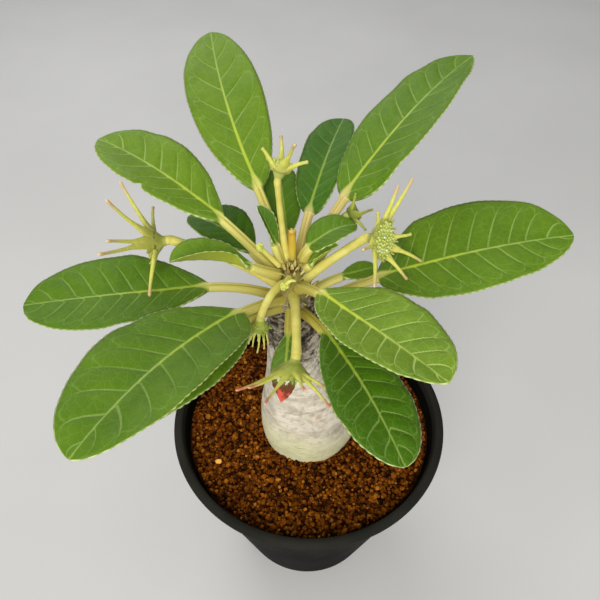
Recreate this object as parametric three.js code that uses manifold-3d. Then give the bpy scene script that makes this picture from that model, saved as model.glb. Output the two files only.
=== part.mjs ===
// A potted caudex plant: a swollen stem in a round nursery pot, a crown of stalked leaves
// and finger-bracted flower heads. Millimetres, +Z up. The origin is the centre of the
// pot's underside, so the plant stands on the plane z = 0.
import * as THREE from 'three';
import { mergeVertices } from 'three/addons/utils/BufferGeometryUtils.js';
import Module from 'manifold-3d';

const wasm = await Module();
wasm.setup();

// Driving dimensions
const GAP = 0.3; // air left between neighbouring pieces

const POT_HEIGHT = 72;
const POT_SIDES = 48;
const RIM_RADIUS = 45;
const MOUTH_RADIUS = 42; // inside the lip
const BASE_RADIUS = 26.5;
const WALL = 1.2;
const LIP_RADIUS = 1.6; // of the rolled lip's section
const DRAIN_RADIUS = 3;
const DRAIN_CIRCLE = 18; // radius of the circle that the drain holes stand on
const DRAIN_COUNT = 8;
const DRAIN_SIDES = 12;
const BEVEL = 1.5; // between the pot's underside and its wall
const LIP_ANGLES = [-70, -20, 35, 90]; // degrees round the lip's section, from below to its crest

const SOIL_LEVEL = 66;
const SOIL_RIPPLE = 0.5; // unevenness of the soil's surface
const RIPPLE_X = 0.31; // radians per millimetre, sideways
const RIPPLE_Y = 0.27; // and backward
const SOIL_RINGS = [1, 0.8, 0.6]; // rings of the soil's surface, as shares of its radius

// The stem's outline: height, sideways and backward place of its centre, and radius.
const STEM = [
  { z: 34, x: 1, y: 0, radius: 1.6 },
  { z: 44, x: 1, y: 0, radius: 3.4 },
  { z: 54, x: 0.5, y: 0, radius: 9 },
  { z: 60, x: 0, y: 0.5, radius: 13.4 },
  { z: 66, x: 0, y: 0.5, radius: 15.4 },
  { z: 72, x: -0.3, y: 0.5, radius: 15.7 },
  { z: 79, x: -1, y: 0.3, radius: 14.6 },
  { z: 88, x: -2, y: 0, radius: 12.2 },
  { z: 98, x: -3.2, y: 0, radius: 9.8 },
  { z: 108, x: -4.2, y: 0.3, radius: 8.4 },
  { z: 118, x: -4.8, y: 0.7, radius: 7.4 },
  { z: 127, x: -5, y: 1, radius: 6.4 },
  { z: 133, x: -5, y: 1, radius: 5.6 },
  { z: 137, x: -5, y: 1, radius: 4.6 },
  { z: 139.5, x: -5, y: 1, radius: 2.6 },
];
const STEM_SIDES = 24;
const THREE_LOBES = 0.02; // swelling of three lobes that wind up the stem, as a share of the radius
const LOBE_TWIST = 0.12; // radians per millimetre of height
const FIVE_LOBES = 0.012; // and of five upright ones
const CROWN = new THREE.Vector2(-5, 1); // the crown's axis, seen from above
const ROOT_INSET = 3.2; // how deep inside the crown a stalk's axis starts

const STALK_RADIUS = 1.25;
const LEAF_SIDES = 8;
const BLADE_HALF_THICKNESS = 0.55;
const TIP_HALF_WIDTH = 0.6;
const MARGIN_HALF_THICKNESS = 0.3;
const ROUND_SHARE = 0.25; // share of the blade over which the stalk's round section dies out
const OUTLINE_END = 0.995; // place along the blade where its outline stops narrowing

// How each leaf grows. Angles are in degrees: azimuth is the heading seen from above,
// counted from +X towards +Y, rise is the angle above level at the crown, at the foot of
// the blade and at its tip. height is where the stalk leaves the crown.
// turn swings the blade's heading from foot to tip, roll tips it about its midrib, and
// fold lifts both halves. widest is the place of the widest point, from 0 to 1, and taper
// is 1 for a rounded outline and more for a pointed one.
const LEAVES = [
  { name: 'leaf_back_left', azimuth: 115, height: 134, rise: [50, 26, 14], stalk: 23, blade: 59,
    halfWidth: 10.8, turn: -16, roll: -9, fold: 6, widest: 0.52, taper: 1.3 },
  { name: 'leaf_left_upper', azimuth: 150, height: 133, rise: [37, 31, 3], stalk: 21, blade: 42,
    halfWidth: 9.8, turn: 0, roll: -1, fold: 12, widest: 0.53, taper: 1.35 },
  { name: 'leaf_left', azimuth: 188, height: 127, rise: [37, 3, -5], stalk: 19.5, blade: 47.5,
    halfWidth: 11.3, turn: -2, roll: -5, fold: 8, widest: 0.58, taper: 1.3 },
  { name: 'leaf_front_left', azimuth: 233, height: 129, rise: [32, 24, -3], stalk: 19, blade: 53,
    halfWidth: 12.5, turn: 11, roll: 4, fold: 15, widest: 0.55, taper: 1.3 },
  { name: 'leaf_front_left_lower', azimuth: 231, height: 126, rise: [30, 20, -11], stalk: 17, blade: 39,
    halfWidth: 9.6, turn: 10, roll: -10, fold: 8, widest: 0.53, taper: 1.45 },
  { name: 'leaf_front_right', azimuth: -55, height: 133, rise: [43, 18, 15], stalk: 10, blade: 45,
    halfWidth: 10.9, turn: -4, roll: -2, fold: 11, widest: 0.52, taper: 1.28 },
  { name: 'leaf_front_right_lower', azimuth: -64, height: 125, rise: [34, 13, -9], stalk: 16, blade: 41,
    halfWidth: 8.8, turn: -7, roll: -4, fold: 8, widest: 0.58, taper: 1.35 },
  { name: 'leaf_right', azimuth: 2, height: 123, rise: [31, 24, 7], stalk: 22, blade: 50,
    halfWidth: 13.9, turn: 0, roll: 10, fold: 4, widest: 0.47, taper: 1.28 },
  { name: 'leaf_back_right', azimuth: 46, height: 136, rise: [41, 37, 8], stalk: 21, blade: 56.5,
    halfWidth: 12, turn: -2, roll: -14, fold: 11, widest: 0.49, taper: 1.37 },
  { name: 'leaf_back', azimuth: 74, height: 133.5, rise: [46, 26, 3], stalk: 16, blade: 37,
    halfWidth: 6.7, turn: -3, roll: -9, fold: 9, widest: 0.58, taper: 1.2 },
  { name: 'small_leaf_left', azimuth: 140, height: 126, rise: [56, 24, -22], stalk: 14, blade: 25.5,
    halfWidth: 6.6, turn: 5, roll: -2, fold: 9, widest: 0.54, taper: 1.25 },
  { name: 'small_leaf_back', azimuth: 97, height: 126, rise: [60, 38, 4], stalk: 15, blade: 25,
    halfWidth: 5.4, turn: 0, roll: 10, fold: 10, widest: 0.54, taper: 1.2 },
  { name: 'small_leaf_right', azimuth: 13, height: 126.5, rise: [37, 15, -4], stalk: 11.5, blade: 10.5,
    halfWidth: 3, turn: 6, roll: 9, fold: 7, widest: 0.56, taper: 1.25 },
  { name: 'young_leaf_left', azimuth: 188, height: 135.5, rise: [25, 32, -5], stalk: 8, blade: 21,
    halfWidth: 5.7, turn: 2, roll: 2, fold: 22, widest: 0.63, taper: 1.25 },
  { name: 'young_leaf_back', azimuth: 143, height: 137, rise: [70, 68, 55], stalk: 6, blade: 11.5,
    halfWidth: 2.6, turn: -3, roll: 0, fold: 25, widest: 0.58, taper: 1.25 },
  { name: 'young_leaf_right', azimuth: 26, height: 139.4, rise: [74, 45, -17], stalk: 3.5, blade: 14.5,
    halfWidth: 4.5, turn: -4, roll: 3, fold: 11, widest: 0.58, taper: 1.2 },
  { name: 'young_leaf_curled', azimuth: 9, height: 137.2, rise: [25, 39, 37], stalk: 1.5, blade: 9.5,
    halfWidth: 2.4, turn: 2, roll: 4, fold: 24, widest: 0.58, taper: 1.25 },
  { name: 'old_leaf_front', azimuth: -95, height: 128.4, rise: [-34, -38, -66], stalk: 7.9, blade: 19.7,
    halfWidth: 4.2, turn: -12, roll: 5, fold: 9, widest: 0.55, taper: 1.25 },
];
const STALK_STEPS = 5;
const BLADE_STEPS = 12;

// How each flower head grows: its stalk as above, the way that its disc faces, and its
// bracts, each as the place around the disc (0 is its top, 90 its left), the length, and
// the lean out of the disc's plane.
const FLOWERS = [
  { name: 'flower_left', azimuth: 170, height: 130.5, rise: [36, 10], turn: 1, stalk: 31.5,
    face: [188, -5], neck: 5, disc: 4.3,
    bracts: [[-23, 13, 15], [17, 16.5, 16], [-92, 12, 0], [45, 15.5, 21], [53, 18.5, 23], [113, 10.5, 7]] },
  { name: 'flower_right', azimuth: 7, height: 133, rise: [45, 34], turn: 0, stalk: 20.5,
    face: [-32, 18], neck: 4.7, disc: 5.1,
    bracts: [[32, 8.5, 15], [46, 11.5, 20], [113, 5, 25], [146, 9, 32], [178, 8, 32], [-103, 10.5, 20],
      [-67, 8, 10], [-10, 4, 10]] },
  { name: 'flower_front', azimuth: -84, height: 131, rise: [23, -23], turn: -7, stalk: 20.7,
    face: [-110, -50], neck: 4.5, disc: 4.5,
    bracts: [[-27, 13.5, 12], [-20, 11.5, 9], [-2, 12.5, 16], [32, 7, 2], [61, 7, -3], [52, 12, 10]] },
  { name: 'flower_young', azimuth: -113, height: 134.5, rise: [53, -54], turn: -3, stalk: 15.5,
    face: [-120, -78], neck: 3, disc: 2.5,
    bracts: [[-100, 6.5, 80], [-150, 7, 81], [170, 6.5, 80], [120, 6, 77], [75, 6.5, 80], [30, 7, 82],
      [-15, 6, 80], [-60, 6.5, 79]] },
  { name: 'flower_back', azimuth: 106, height: 138, rise: [68, 83], turn: 0, stalk: 22,
    face: [60, 60], neck: 4, disc: 3,
    bracts: [[144, 9, 34], [-37, 10, 35], [-74, 5.5, 25], [35, 4, 35]] },
  { name: 'flower_star', azimuth: 38, height: 128, rise: [53, 48], turn: 0, stalk: 23,
    face: [20, 10], neck: 2.5, disc: 2.2,
    bracts: [[-50, 9.5, 10], [5, 4, 15], [121, 8, 21], [-104, 4, 5]] },
];
const FLOWER_STALK_RADIUS = 1.2;
const BRACT_FOOT_RADIUS = 1.1;
const BRACT_TIP_RADIUS = 0.42;
const BRACT_SIDES = 6;
const BRACT_STEPS = 3;
const BRACT_FOOT = 0.6; // distance of a bract's foot from the disc's middle, in disc radii
const BRACT_SINK = 1; // depth of that foot below the disc
const FLOWER_STALK_STEPS = 6;
const STALK_SIDES = 8;
const NECK_SIDES = 10;

// The flare from a flower's stalk to its disc. A point's radius is a share of the stalk's
// plus a share of the disc's; its height is a share of the neck's, and beyond it.
const NECK = [
  { stalk: 0, disc: 0, neck: 0, beyond: -1 },
  { stalk: 0.9, disc: 0, neck: 0, beyond: -0.6 },
  { stalk: 1.3, disc: 0, neck: 0.35, beyond: 0 },
  { stalk: 0, disc: 0.7, neck: 0.75, beyond: 0 },
  { stalk: 0, disc: 1, neck: 1, beyond: 0 },
  { stalk: 0, disc: 0.7, neck: 1, beyond: 0.7 },
  { stalk: 0, disc: 0, neck: 1, beyond: 0.9 },
];

// Short stalks that carry no leaf: a cut one, and two that end in a bud.
const STUBS = [
  { name: 'cut_stalk', azimuth: 62, height: 138, rise: 82, length: 9, radius: 0.95, knob: 0 },
  { name: 'bud_back', azimuth: 172, height: 138, rise: 50, length: 7.5, radius: 0.6, knob: 1.35 },
  { name: 'bud_front', azimuth: -94, height: 137, rise: 20, length: 5, radius: 0.8, knob: 1.35 },
];
const STUB_STEPS = 2;
const KNOB_SIDES = 8;
const KNOB_RINGS = 6;

// Materials
const paint = (name, color, roughness) => {
  return new THREE.MeshStandardMaterial({ name, color, roughness, metalness: 0 });
};
const POT_PLASTIC = paint('pot', 0x161616, 0.55);
const SOIL_GRAINS = paint('soil', 0x5a3018, 0.95);
const STEM_BARK = paint('bark', 0xc9c0ad, 0.85);
const LEAF_GREEN = paint('leaf', 0x4f7f22, 0.5);
const FLOWER_GREEN = paint('flower', 0xc8c469, 0.5);

// Vector along a heading, both angles in degrees.
function heading(azimuth, rise) {
  const a = THREE.MathUtils.degToRad(azimuth);
  const e = THREE.MathUtils.degToRad(rise);
  return new THREE.Vector3(Math.cos(e) * Math.cos(a), Math.cos(e) * Math.sin(a), Math.sin(e));
}

// Level vector to the left of a heading.
function leftOf(azimuth) {
  const a = THREE.MathUtils.degToRad(azimuth);
  return new THREE.Vector3(-Math.sin(a), Math.cos(a), 0);
}

// Where a stalk starts, inside the crown on the side that it heads for.
function rootOf(azimuth, height) {
  const out = heading(azimuth, 0).multiplyScalar(ROOT_INSET);
  return new THREE.Vector3(CROWN.x + out.x, CROWN.y + out.y, height);
}

// A stem that bends evenly from one heading to another: a list of frames along it.
function growStem(start, azimuths, rises, length, steps) {
  const frames = [];
  const point = start.clone();
  for (let i = 0; i <= steps; i += 1) {
    const t = i / steps;
    const azimuth = THREE.MathUtils.lerp(azimuths[0], azimuths[1], t);
    const along = heading(azimuth, THREE.MathUtils.lerp(rises[0], rises[1], t));
    const left = leftOf(azimuth);
    frames.push({ point: point.clone(), along, left, up: along.clone().cross(left) });
    const half = (i + 0.5) / steps;
    const step = heading(
      THREE.MathUtils.lerp(azimuths[0], azimuths[1], half),
      THREE.MathUtils.lerp(rises[0], rises[1], half),
    );
    point.addScaledVector(step, length / steps);
  }
  return frames;
}

// A closed skin around a row of frames. section(k, angle) gives the place of the skin in
// frame k as [left, up]; the middle of each end is the frame's own point.
function skin(frames, sides, section) {
  const geometry = new THREE.CylinderGeometry(1, 1, 1, sides, frames.length - 1);
  const position = geometry.getAttribute('position');
  const place = new THREE.Vector3();
  for (let i = 0; i < position.count; i += 1) {
    place.fromBufferAttribute(position, i);
    const k = Math.round((0.5 - place.y) * (frames.length - 1));
    const onAxis = Math.hypot(place.x, place.z) < 0.5;
    const angle = Math.atan2(place.z, place.x);
    const [left, up] = onAxis ? [0, section(k, Math.PI / 2)[1] / 2] : section(k, angle);
    const frame = frames[k];
    place.copy(frame.point).addScaledVector(frame.left, left).addScaledVector(frame.up, up);
    position.setXYZ(i, place.x, place.y, place.z);
  }
  return geometry;
}

// Solid of a closed geometry.
function toSolid(geometry) {
  const bare = geometry.clone();
  bare.deleteAttribute('normal');
  bare.deleteAttribute('uv');
  const merged = mergeVertices(bare, 1e-4);
  return new wasm.Manifold(new wasm.Mesh({
    numProp: 3,
    vertProperties: new Float32Array(merged.getAttribute('position').array),
    triVerts: new Uint32Array(merged.getIndex().array),
  }));
}

function toGeometry(solid) {
  const mesh = solid.getMesh();
  const geometry = new THREE.BufferGeometry();
  geometry.setAttribute('position', new THREE.BufferAttribute(mesh.vertProperties, 3));
  geometry.setIndex(new THREE.BufferAttribute(mesh.triVerts, 1));
  geometry.computeVertexNormals();
  return geometry;
}

// What is left of a stalk outside the stem.
function outsideStem(solid) {
  const pieces = solid.subtract(stemRoom).decompose();
  return pieces.reduce((largest, piece) => (piece.volume() > largest.volume() ? piece : largest));
}

// The swollen stem with its taproot, grown larger all round by a margin.
function stemGeometry(margin) {
  const frames = STEM.map(({ x, y, z }) => ({
    point: new THREE.Vector3(x, y, z),
    left: new THREE.Vector3(1, 0, 0),
    up: new THREE.Vector3(0, 1, 0),
  }));
  frames[0].point.z -= margin;
  frames[frames.length - 1].point.z += margin;
  return skin(frames, STEM_SIDES, (k, angle) => {
    const winding = THREE_LOBES * Math.sin(3 * angle + LOBE_TWIST * STEM[k].z);
    const upright = FIVE_LOBES * Math.cos(5 * angle);
    const radius = STEM[k].radius * (1 + winding + upright) + margin;
    return [radius * Math.cos(angle), radius * Math.sin(angle)];
  });
}

const stemSolid = toSolid(stemGeometry(0));
const stemRoom = toSolid(stemGeometry(GAP));

// Outer radius of the pot's wall at a height.
function wallRadius(z) {
  return THREE.MathUtils.lerp(BASE_RADIUS, MOUTH_RADIUS + WALL, z / (POT_HEIGHT - LIP_RADIUS));
}

// A profile of [radius, height] points turned about Z.
function latheUpright(points, segments) {
  const profile = points.map(([radius, z]) => new THREE.Vector2(radius, z));
  return new THREE.LatheGeometry(profile, segments).rotateX(Math.PI / 2);
}

// The pot: a thin tapering wall under a rolled lip, and a floor with drain holes.
function makePot() {
  const lipZ = POT_HEIGHT - LIP_RADIUS;
  const lipR = RIM_RADIUS - LIP_RADIUS;
  const lip = LIP_ANGLES.map((degrees) => {
    const a = THREE.MathUtils.degToRad(degrees);
    return [lipR + LIP_RADIUS * Math.cos(a), lipZ + LIP_RADIUS * Math.sin(a)];
  });
  const profile = [
    [0, 0],
    [BASE_RADIUS - BEVEL, 0],
    [wallRadius(BEVEL), BEVEL],
    [wallRadius(lipZ - LIP_RADIUS), lipZ - LIP_RADIUS],
    ...lip,
    [MOUTH_RADIUS, POT_HEIGHT - WALL / 2],
    [wallRadius(2 * WALL) - WALL, 2 * WALL],
    [wallRadius(WALL) - 2 * WALL, WALL],
    [0, WALL],
  ];
  let pot = toSolid(latheUpright(profile, POT_SIDES));
  for (let i = 0; i < DRAIN_COUNT; i += 1) {
    const a = (i / DRAIN_COUNT) * 2 * Math.PI;
    const drill = new THREE.CylinderGeometry(DRAIN_RADIUS, DRAIN_RADIUS, 4 * WALL, DRAIN_SIDES);
    drill.rotateX(Math.PI / 2).translate(DRAIN_CIRCLE * Math.cos(a), DRAIN_CIRCLE * Math.sin(a), 0);
    pot = pot.subtract(toSolid(drill));
  }
  return pot;
}

// The soil, which fills the pot round the stem and ends in a slightly uneven surface.
function makeSoil() {
  const foot = WALL + GAP;
  const inside = (z) => wallRadius(z) - WALL - GAP;
  const profile = [
    [0, foot],
    [inside(foot) - 2 * WALL, foot],
    ...SOIL_RINGS.map((share) => [inside(SOIL_LEVEL) * share, SOIL_LEVEL]),
    [0, SOIL_LEVEL],
  ];
  const geometry = latheUpright(profile, POT_SIDES);
  const position = geometry.getAttribute('position');
  for (let i = 0; i < position.count; i += 1) {
    if (position.getZ(i) === SOIL_LEVEL) {
      const wave = Math.sin(RIPPLE_X * position.getX(i)) * Math.cos(RIPPLE_Y * position.getY(i));
      position.setZ(i, SOIL_LEVEL + SOIL_RIPPLE * wave);
    }
  }
  return outsideStem(toSolid(geometry));
}

// Half width of a blade as a share of its greatest, at a place from foot to tip.
function bladeOutline(t, widest, taper) {
  const foot = (t / widest) ** widest;
  const tip = ((1 - t) / (1 - widest)) ** (1 - widest);
  return (foot * tip) ** taper;
}

// Frames along a leaf, from the crown to the blade's tip.
function leafFrames(leaf) {
  const start = rootOf(leaf.azimuth, leaf.height);
  const [atCrown, atFoot, atTip] = leaf.rise;
  const headings = [leaf.azimuth, leaf.azimuth];
  const stalk = growStem(start, headings, [atCrown, atFoot], leaf.stalk, STALK_STEPS);
  headings[1] += leaf.turn;
  const foot = stalk.pop().point;
  const blade = growStem(foot, headings, [atFoot, atTip], leaf.blade, BLADE_STEPS);
  return [...stalk, ...blade];
}

// A leaf with its stalk: round at the crown, then a folded blade, thickest at the midrib.
function makeLeaf(leaf) {
  const frames = leafFrames(leaf);
  const roll = THREE.MathUtils.degToRad(leaf.roll);
  const lift = Math.tan(THREE.MathUtils.degToRad(leaf.fold));
  const geometry = skin(frames, LEAF_SIDES, (k, angle) => {
    const t = Math.max(0, (k - STALK_STEPS) / BLADE_STEPS);
    const outline = leaf.halfWidth * bladeOutline(Math.min(t, OUTLINE_END), leaf.widest, leaf.taper);
    const onStalk = Math.max(0, 1 - t / ROUND_SHARE);
    const halfWidth = Math.max(outline, STALK_RADIUS * onStalk, TIP_HALF_WIDTH);
    const halfThickness = THREE.MathUtils.lerp(BLADE_HALF_THICKNESS, STALK_RADIUS, onStalk);
    const thinning = THREE.MathUtils.lerp(MARGIN_HALF_THICKNESS, halfThickness, 1 - t * t * t);
    const across = halfWidth * Math.cos(angle);
    const out = thinning * Math.sin(angle) + Math.abs(across) * lift * (1 - onStalk);
    const turned = roll * (1 - onStalk);
    return [
      across * Math.cos(turned) - out * Math.sin(turned),
      across * Math.sin(turned) + out * Math.cos(turned),
    ];
  });
  return outsideStem(toSolid(geometry));
}

// A finger-like bract that rises from inside a disc's rim.
function makeBract(head, [around, length, lean]) {
  const a = THREE.MathUtils.degToRad(around);
  const e = THREE.MathUtils.degToRad(lean);
  const outward = head.up.clone().multiplyScalar(Math.cos(a)).addScaledVector(head.left, Math.sin(a));
  const along = outward.clone().multiplyScalar(Math.cos(e)).addScaledVector(head.along, Math.sin(e));
  const left = head.along.clone().cross(outward);
  const up = along.clone().cross(left);
  const start = head.point.clone().addScaledVector(outward, head.radius * BRACT_FOOT);
  start.addScaledVector(head.along, -BRACT_SINK);
  const reach = length + head.radius * (1 - BRACT_FOOT);
  const frames = [];
  for (let i = 0; i <= BRACT_STEPS; i += 1) {
    const t = i / BRACT_STEPS;
    const rise = BRACT_SINK * (1 - (1 - t) ** 2);
    const point = start.clone().addScaledVector(along, reach * t).addScaledVector(head.along, rise);
    frames.push({ point, left, up });
  }
  return toSolid(skin(frames, BRACT_SIDES, (k, angle) => {
    const radius = THREE.MathUtils.lerp(BRACT_FOOT_RADIUS, BRACT_TIP_RADIUS, Math.sqrt(k / BRACT_STEPS));
    return [radius * Math.cos(angle), radius * Math.sin(angle)];
  }));
}

// Turns a solid of revolution about Z to stand along a frame.
function standAlong(geometry, frame) {
  const basis = new THREE.Matrix4().makeBasis(frame.up, frame.left.clone().negate(), frame.along);
  return geometry.applyMatrix4(basis.setPosition(frame.point));
}

// A flower head: its stalk, the flared neck below the disc, and the bracts.
function makeFlower(flower) {
  const start = rootOf(flower.azimuth, flower.height);
  const azimuths = [flower.azimuth, flower.azimuth + flower.turn];
  const frames = growStem(start, azimuths, flower.rise, flower.stalk, FLOWER_STALK_STEPS);
  const stalk = toSolid(skin(frames, STALK_SIDES, (k, angle) => {
    return [FLOWER_STALK_RADIUS * Math.cos(angle), FLOWER_STALK_RADIUS * Math.sin(angle)];
  }));
  const [azimuth, rise] = flower.face;
  const along = heading(azimuth, rise);
  const left = leftOf(azimuth);
  const up = along.clone().cross(left);
  const apex = frames[frames.length - 1].point;
  const profile = NECK.map((point) => [
    point.stalk * FLOWER_STALK_RADIUS + point.disc * flower.disc,
    point.neck * flower.neck + point.beyond,
  ]);
  const neck = toSolid(standAlong(latheUpright(profile, NECK_SIDES), { point: apex, along, left, up }));
  const disc = apex.clone().addScaledVector(along, flower.neck);
  const head = { point: disc, along, left, up, radius: flower.disc };
  let solid = stalk.add(neck);
  for (const bract of flower.bracts) {
    solid = solid.add(makeBract(head, bract));
  }
  return outsideStem(solid);
}

// A short bare stalk, with a knob where it ends in a bud.
function makeStub(stub) {
  const start = rootOf(stub.azimuth, stub.height);
  const azimuths = [stub.azimuth, stub.azimuth];
  const frames = growStem(start, azimuths, [stub.rise, stub.rise], stub.length, STUB_STEPS);
  let solid = toSolid(skin(frames, STALK_SIDES, (k, angle) => {
    return [stub.radius * Math.cos(angle), stub.radius * Math.sin(angle)];
  }));
  if (stub.knob > 0) {
    const end = frames[frames.length - 1].point;
    const knob = new THREE.SphereGeometry(stub.knob, KNOB_SIDES, KNOB_RINGS);
    solid = solid.add(toSolid(knob.translate(end.x, end.y, end.z)));
  }
  return outsideStem(solid);
}

const plant = new THREE.Group();
plant.name = 'potted_plant';

function addPiece(name, solid, material) {
  const mesh = new THREE.Mesh(toGeometry(solid), material);
  mesh.name = name;
  plant.add(mesh);
}

addPiece('pot', makePot(), POT_PLASTIC);
addPiece('soil', makeSoil(), SOIL_GRAINS);
addPiece('trunk', stemSolid, STEM_BARK);
for (const leaf of LEAVES) {
  addPiece(leaf.name, makeLeaf(leaf), LEAF_GREEN);
}
for (const flower of FLOWERS) {
  addPiece(flower.name, makeFlower(flower), FLOWER_GREEN);
}
for (const stub of STUBS) {
  addPiece(stub.name, makeStub(stub), FLOWER_GREEN);
}

export default plant;
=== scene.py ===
"""The looks of a potted caudex plant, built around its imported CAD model.

Lengths in the tables are millimetres and angles are degrees, as in the CAD source; every
mesh is written in metres. -Y is the side that the camera stands on.
"""
import math

import bpy
import numpy as np
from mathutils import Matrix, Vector


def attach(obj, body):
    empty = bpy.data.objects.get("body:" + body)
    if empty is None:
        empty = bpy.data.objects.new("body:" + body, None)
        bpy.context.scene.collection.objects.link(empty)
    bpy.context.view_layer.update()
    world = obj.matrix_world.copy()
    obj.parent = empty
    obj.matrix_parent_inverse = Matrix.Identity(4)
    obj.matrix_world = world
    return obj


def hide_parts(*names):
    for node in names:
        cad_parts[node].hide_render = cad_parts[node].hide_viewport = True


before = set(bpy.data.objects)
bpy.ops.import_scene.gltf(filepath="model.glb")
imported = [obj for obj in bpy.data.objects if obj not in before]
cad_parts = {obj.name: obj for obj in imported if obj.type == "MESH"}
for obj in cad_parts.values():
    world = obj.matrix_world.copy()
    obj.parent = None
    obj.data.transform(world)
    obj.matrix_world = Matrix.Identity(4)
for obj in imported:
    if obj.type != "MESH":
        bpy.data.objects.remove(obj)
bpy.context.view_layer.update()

MM = 0.001

# ---- growth tables

CROWN = np.array([-5.0, 1.0])  # the crown's axis, seen from above
ROOT_INSET = 3.2  # how deep inside the crown a stalk's axis starts
STALK_RADIUS = 1.25

# name: azimuth, height, rise at crown, foot and tip, stalk, blade, rough half width, turn,
# roll, fold
LEAVES = {
    "leaf_back_left": (115, 134, (50, 26, 14), 23, 59, 10.8, -16, -9, 6),
    "leaf_left_upper": (150, 133, (37, 31, 3), 21, 42, 9.8, 0, -1, 12),
    "leaf_left": (188, 127, (37, 3, -5), 19.5, 47.5, 11.3, -2, -5, 8),
    "leaf_front_left": (233, 129, (32, 24, -3), 19, 53, 12.5, 11, 4, 15),
    "leaf_front_left_lower": (231, 126, (30, 20, -11), 17, 39, 9.6, 10, -10, 8),
    "leaf_front_right": (-55, 133, (43, 18, 15), 10, 45, 10.9, -4, -2, 11),
    "leaf_front_right_lower": (-64, 125, (34, 13, -9), 16, 41, 8.8, -7, -4, 8),
    "leaf_right": (2, 123, (31, 24, 7), 22, 50, 13.9, 0, 10, 4),
    "leaf_back_right": (46, 136, (41, 37, 8), 21, 56.5, 12, -2, -14, 11),
    "leaf_back": (74, 133.5, (46, 26, 3), 16, 37, 6.7, -3, -9, 9),
    "small_leaf_left": (140, 126, (56, 24, -22), 14, 25.5, 6.6, 5, -2, 9),
    "small_leaf_back": (97, 126, (60, 38, 4), 15, 25, 5.4, 0, 10, 10),
    "small_leaf_right": (13, 126.5, (37, 15, -4), 11.5, 10.5, 3, 6, 9, 7),
    "young_leaf_left": (188, 135.5, (25, 32, -5), 8, 21, 5.7, 2, 2, 22),
    "young_leaf_back": (143, 137, (70, 68, 55), 6, 11.5, 2.6, -3, 0, 25),
    "young_leaf_right": (26, 139.4, (74, 45, -17), 3.5, 14.5, 5.2, -4, 3, 11),
    "young_leaf_curled": (9, 137.2, (25, 39, 37), 1.5, 9.5, 2.6, 2, 4, 12),
    "old_leaf_front": (-95, 128.4, (-34, -38, -66), 7.9, 19.7, 4.2, -12, 5, 9),
}

# How far the halves of a folded blade stand up, in degrees: left at foot and tip, right at
# foot and tip
FOLDED = {
    "young_leaf_left": (78, 30, 8, 0),
    "young_leaf_back": (40, 34, 44, 36),
    "young_leaf_right": (0, 0, 14, 4),
    "young_leaf_curled": (18, 8, 62, 50),
}

# Outlines of the left and right halves: greatest half width, its place along the blade, taper
HALVES = {
    "leaf_back_left": ((10.5, 0.55, 1.15), (10.9, 0.52, 1.15)),
    "leaf_left_upper": ((9.8, 0.55, 1.4), (10.4, 0.58, 1.4)),
    "leaf_left": ((11.4, 0.59, 1.3), (12, 0.56, 1.25)),
    "leaf_front_left": ((13.4, 0.51, 1.15), (12.4, 0.56, 1.2)),
    "leaf_front_left_lower": ((9, 0.46, 1.3),) * 2,
    "leaf_front_right": ((11.5, 0.48, 1.08), (9.5, 0.54, 1.3)),
    "leaf_front_right_lower": ((8.6, 0.57, 1.1), (9.4, 0.6, 1.5)),
    "leaf_right": ((15.8, 0.51, 1.08), (12.2, 0.46, 1.1)),
    "leaf_back_right": ((10.7, 0.52, 0.95), (11.8, 0.4, 1.35)),
    "leaf_back": ((7.7, 0.6, 0.85), (6.3, 0.52, 0.8)),
    "small_leaf_left": ((6, 0.52, 1.6), (8.4, 0.51, 1.6)),
    "old_leaf_front": ((4, 0.49, 1.6), (3.9, 0.49, 1.8)),
    "small_leaf_back": ((5.4, 0.54, 1.2),) * 2,
    "small_leaf_right": ((3, 0.56, 1.25),) * 2,
    "young_leaf_left": ((5.7, 0.63, 1.25),) * 2,
    "young_leaf_back": ((2.6, 0.58, 1.25),) * 2,
    "young_leaf_right": ((5.2, 0.44, 1.1),) * 2,
    "young_leaf_curled": ((2.6, 0.5, 1.1),) * 2,
}

# How a leaf looks: green (0 dark to 1 light), veins (0 faint to 1 bright), tint of the
# stalk (0 yellow-green, 1 pink-beige, 2 olive), pairs of side veins
LOOKS = {
    "leaf_back_left": (0.52, 0.6, 0, 7),
    "leaf_left_upper": (0.55, 0.6, 0, 7),
    "leaf_left": (0.2, 0.4, 0, 9),
    "leaf_front_left": (0.26, 0.45, 0, 8),
    "leaf_front_left_lower": (0.3, 0.3, 0, 8),
    "leaf_front_right": (0.72, 1.0, 0, 8),
    "leaf_front_right_lower": (0.0, 0.5, 2, 9),
    "leaf_right": (0.36, 0.6, 0, 9),
    "leaf_back_right": (0.28, 0.5, 1, 9),
    "leaf_back": (-0.1, 0.1, 1, 8),
    "small_leaf_left": (-0.05, 0.0, 0, 6),
    "small_leaf_back": (0.1, 0.05, 0, 6),
    "small_leaf_right": (0.4, 0.0, 0, 5),
    "young_leaf_left": (0.5, 0.05, 0, 7),
    "young_leaf_back": (0.0, 0.0, 0, 5),
    "young_leaf_right": (0.2, 0.1, 0, 6),
    "young_leaf_curled": (0.9, 0.1, 0, 4),
    "old_leaf_front": (0.25, 0.3, 2, 6),
}
BROWNED = "old_leaf_front"  # its tip has dried

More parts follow.
